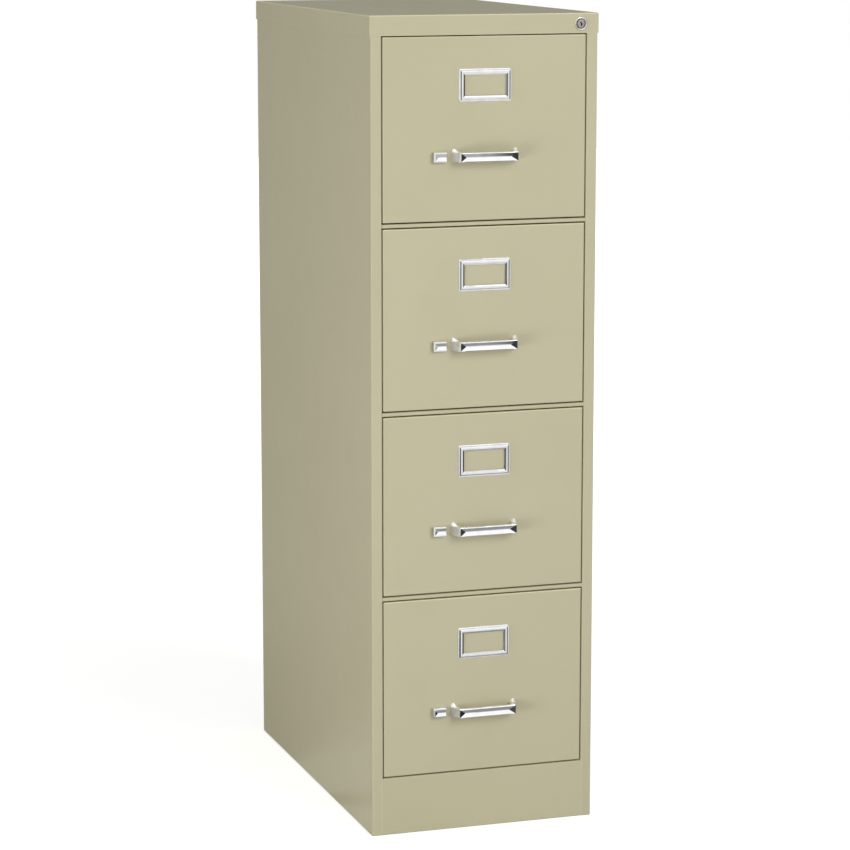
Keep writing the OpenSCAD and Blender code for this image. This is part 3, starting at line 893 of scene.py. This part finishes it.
class Sky(Tree):
    """Light levels by direction, in radians to the right of the front, for the world and the floor."""

    def __init__(self, tree, coordinates):
        super().__init__(tree)
        self.place = self.add("ShaderNodeTexCoord").outputs[coordinates]
        split = self.add("ShaderNodeSeparateXYZ")
        self.link(self.place, split.inputs[0])
        self.x, self.y, self.up = split.outputs
        self.azimuth = self.math("ARCTAN2", self.x, self.math("MULTIPLY", self.y, -1.0))
        self.rays = self.add("ShaderNodeLightPath").outputs

    def step(self, *numbers):
        """A spread with soft ends."""
        return self.spread(*numbers, shape="SMOOTHSTEP")

    def between(self, value, low, high, soft):
        """1 between low and high, 0 outside, with soft ends."""
        rise = self.step(value, low - soft, low + soft)
        return self.math("MULTIPLY", rise, self.step(value, high + soft, high - soft))

    def flags(self, ranges):
        """How much light the dark flags and the dim back of the room leave."""
        front = self.between(self.azimuth, *ROOM_FRONT, ROOM_SOFT)
        left = 1.0
        for low, high in ranges:
            flag = self.between(self.azimuth, math.radians(low), math.radians(high), FLAG_SOFT)
            left = self.math("SUBTRACT", left, self.math("MULTIPLY", flag, FLAG_DARK))
        room = self.math("ADD", ROOM_BACK, self.math("MULTIPLY", front, 1 - ROOM_BACK))
        return self.math("MULTIPLY", left, room)

    def pick(self, factor, first, second):
        """first where factor is 0, second where it is 1."""
        keep = self.math("MULTIPLY", first, self.math("SUBTRACT", 1.0, factor))
        return self.math("ADD", keep, self.math("MULTIPLY", second, factor))


def studio():
    """A white backdrop, a soft room for diffuse light, and one with dark flags for reflections."""
    scene = bpy.context.scene
    scene.view_settings.view_transform = "Standard"
    world = bpy.data.worlds.new("studio")
    scene.world = world
    world.use_nodes = True
    sky = Sky(world.node_tree, "Generated")
    above = sky.step(sky.up, *WALL_TOP)

    left = sky.between(sky.azimuth, -2.6, -0.8, 0.4)
    around = sky.math("ADD", ROOM_LEVEL, sky.math("MULTIPLY", left, LEFT_LEVEL))
    soft = sky.pick(above, around, TOP_LEVEL)

    left_wall = sky.between(sky.azimuth, -2.3, -0.8, 0.2)
    wall = sky.math("ADD", WALL_LEVEL, sky.math("MULTIPLY", left_wall, LEFT_WALL_LEVEL))
    ceiling = sky.math("ADD", CEILING_LEVEL, sky.step(sky.up, *OVERHEAD, 0.0, OVERHEAD_LEVEL))
    bright = sky.pick(above, sky.math("MULTIPLY", sky.flags(FLAGS), wall), ceiling)

    level = sky.pick(sky.rays["Is Glossy Ray"], soft, bright)
    level = sky.pick(sky.rays["Is Camera Ray"], level, 1.0)
    sky.feed(level, world.node_tree.nodes["Background"].inputs["Color"])
    area_light("key", (1.6, -4.2, 2.6), (0, 0, cad_box[1].z * 0.6), (2.2, 2.2), KEY_POWER)
    area_light("fill", (-2.5, -1.5, 0.3), (0, 0, 0.1), (1.8, 0.8), FILL_POWER)


def floor():
    """A white floor. Reflections see it dark close to the cabinet, and it throws little light back up."""
    n = Finish("studio_floor")
    sky = Sky(n.tree, "Object")
    cloud = n.noise(1.5, 3.0)
    length = n.add("ShaderNodeVectorMath", operation="LENGTH")
    n.link(sky.place, length.inputs[0])
    distance = length.outputs["Value"]
    glossy, direct = sky.rays["Is Glossy Ray"], sky.rays["Is Camera Ray"]

    reflected = sky.math("MULTIPLY", sky.step(distance, 0.6, 1.6, 0.3, 0.86), sky.flags(FLOOR_FLAGS))
    across = sky.between(sky.x, *FOOTPRINT_X, FOOTPRINT_SOFT)
    along = sky.between(sky.y, *FOOTPRINT_Y, FOOTPRINT_SOFT)
    outside = sky.math("SUBTRACT", 1.0, sky.math("MULTIPLY", across, along))
    own = sky.math("MULTIPLY", sky.step(distance, 0.6, 4.0, 0.58, 0.95), outside)
    glow = sky.pick(glossy, sky.math("MULTIPLY", direct, own), reflected)
    dark = sky.math("MULTIPLY", sky.rays["Is Diffuse Ray"], 1 - FLOOR_BOUNCE)
    dark = sky.math("MAXIMUM", dark, glossy)
    base = n.mix(cloud, (0.93, 0.93, 0.925), (0.95, 0.95, 0.945))
    n.set(
        Base_Color=n.mix(dark, base, (0.0, 0.0, 0.0)), Roughness=n.spread(cloud, 0.3, 0.7, 0.6, 0.7),
        Specular_IOR_Level=0.0, Emission_Color=(1.0, 1.0, 1.0), Emission_Strength=glow,
    )
    corners = [(x * FLOOR_HALF, y * FLOOR_HALF, 0) for x, y in ((-1, -1), (1, -1), (1, 1), (-1, 1))]
    obj = bpy.data.objects.new("studio_floor", new_mesh("studio_floor", corners, [(0, 1, 2, 3)]))
    obj.location.z = -FLOOR_DROP
    obj.data.materials.append(n.material)
    bpy.context.scene.collection.objects.link(obj)


def camera():
    """The view from the front left, aimed a little below the cabinet's middle."""
    data = bpy.data.cameras.new("camera")
    data.lens = LENS
    data.sensor_width = SENSOR_WIDTH
    obj = bpy.data.objects.new("camera", data)
    azimuth, elevation = math.radians(CAMERA_AZIMUTH), math.radians(CAMERA_ELEVATION)
    back = Vector((
        math.sin(azimuth) * math.cos(elevation),
        -math.cos(azimuth) * math.cos(elevation),
        math.sin(elevation),
    ))
    obj.location = Vector(CAMERA_TARGET) + back * CAMERA_DISTANCE
    obj.rotation_mode = "QUATERNION"
    obj.rotation_quaternion = (-back).to_track_quat("-Z", "Y")
    bpy.context.scene.collection.objects.link(obj)
    bpy.context.scene.camera = obj


finish_cad_nodes()
fit_drawer_fronts()
fit_cover()
fit_handles()
fit_screws()
fit_label_holders()
fit_latches()
fit_lock()
fit_back()
fit_slide_rivets()
floor()
studio()
camera()
